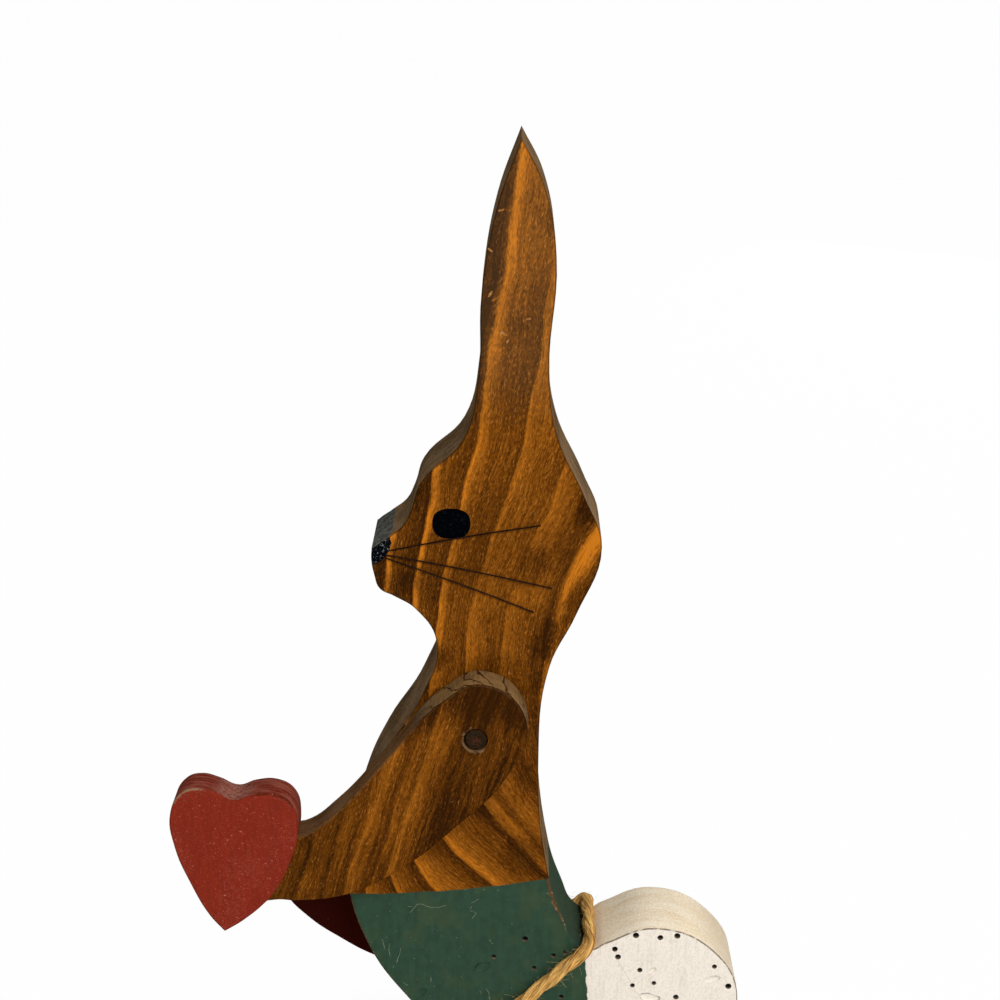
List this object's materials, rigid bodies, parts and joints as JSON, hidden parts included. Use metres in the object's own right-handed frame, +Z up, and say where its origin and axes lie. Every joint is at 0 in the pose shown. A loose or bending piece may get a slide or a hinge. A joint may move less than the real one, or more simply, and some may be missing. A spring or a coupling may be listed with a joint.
{
  "type": "wooden rabbit figure with swinging arms",
  "caption": "Flat sawn-wood standing rabbit whose heart-handed arms swing on a shoulder dowel, with a twine belt and bristle whiskers, on a base block.",
  "frame": {"origin": "centre of the base block's underside", "axes": "+Z up along the body, -X the way the rabbit faces, -Y out of the show side"},
  "size_m": [0.1347, 0.07, 0.2908],
  "materials": {
    "stained_pine": "dark walnut-brown stain, worn satin; painted green and white below the chest",
    "base_pine": "brown stain, matt",
    "red_paint": "barn-red paint on wood, worn at the edges",
    "dowel_wood": "end grain, stained",
    "black_enamel": "thick glossy black dab",
    "bristle": "black broom bristle",
    "jute": "three-ply jute twine, hairy",
    "screw_zinc": "zinc-plated wood screw"
  },
  "bodies": {
    "figure": {"body_board": "stained_pine", "base_board": "base_pine", "base_screw_front": "screw_zinc", "base_screw_rear": "screw_zinc", "shoulder_dowel": "dowel_wood", "front_nose_dab": "black_enamel", "back_nose_dab": "black_enamel", "waist_twine": "jute", "twine_knot": "jute", "front_whisker_upper": "bristle", "front_whisker_middle": "bristle", "front_whisker_lower": "bristle", "back_whisker_upper": "bristle", "back_whisker_middle": "bristle", "back_whisker_lower": "bristle"},
    "front_arm_swing": {"front_arm": "stained_pine", "front_heart": "red_paint", "front_heart_pin": "dowel_wood"},
    "back_arm_swing": {"back_arm": "stained_pine", "back_heart": "red_paint", "back_heart_pin": "dowel_wood"}
  },
  "joints": [
    {"name": "front_shoulder", "type": "hinge", "parent": "figure", "child": "front_arm_swing", "pos_m": [0.0003, 0, 0.1566], "axis": [0, 1, 0], "range_deg": [-48, 76]},
    {"name": "back_shoulder", "type": "hinge", "parent": "figure", "child": "back_arm_swing", "pos_m": [0.0003, 0, 0.1566], "axis": [0, 1, 0], "range_deg": [-14, 110]}
  ]
}
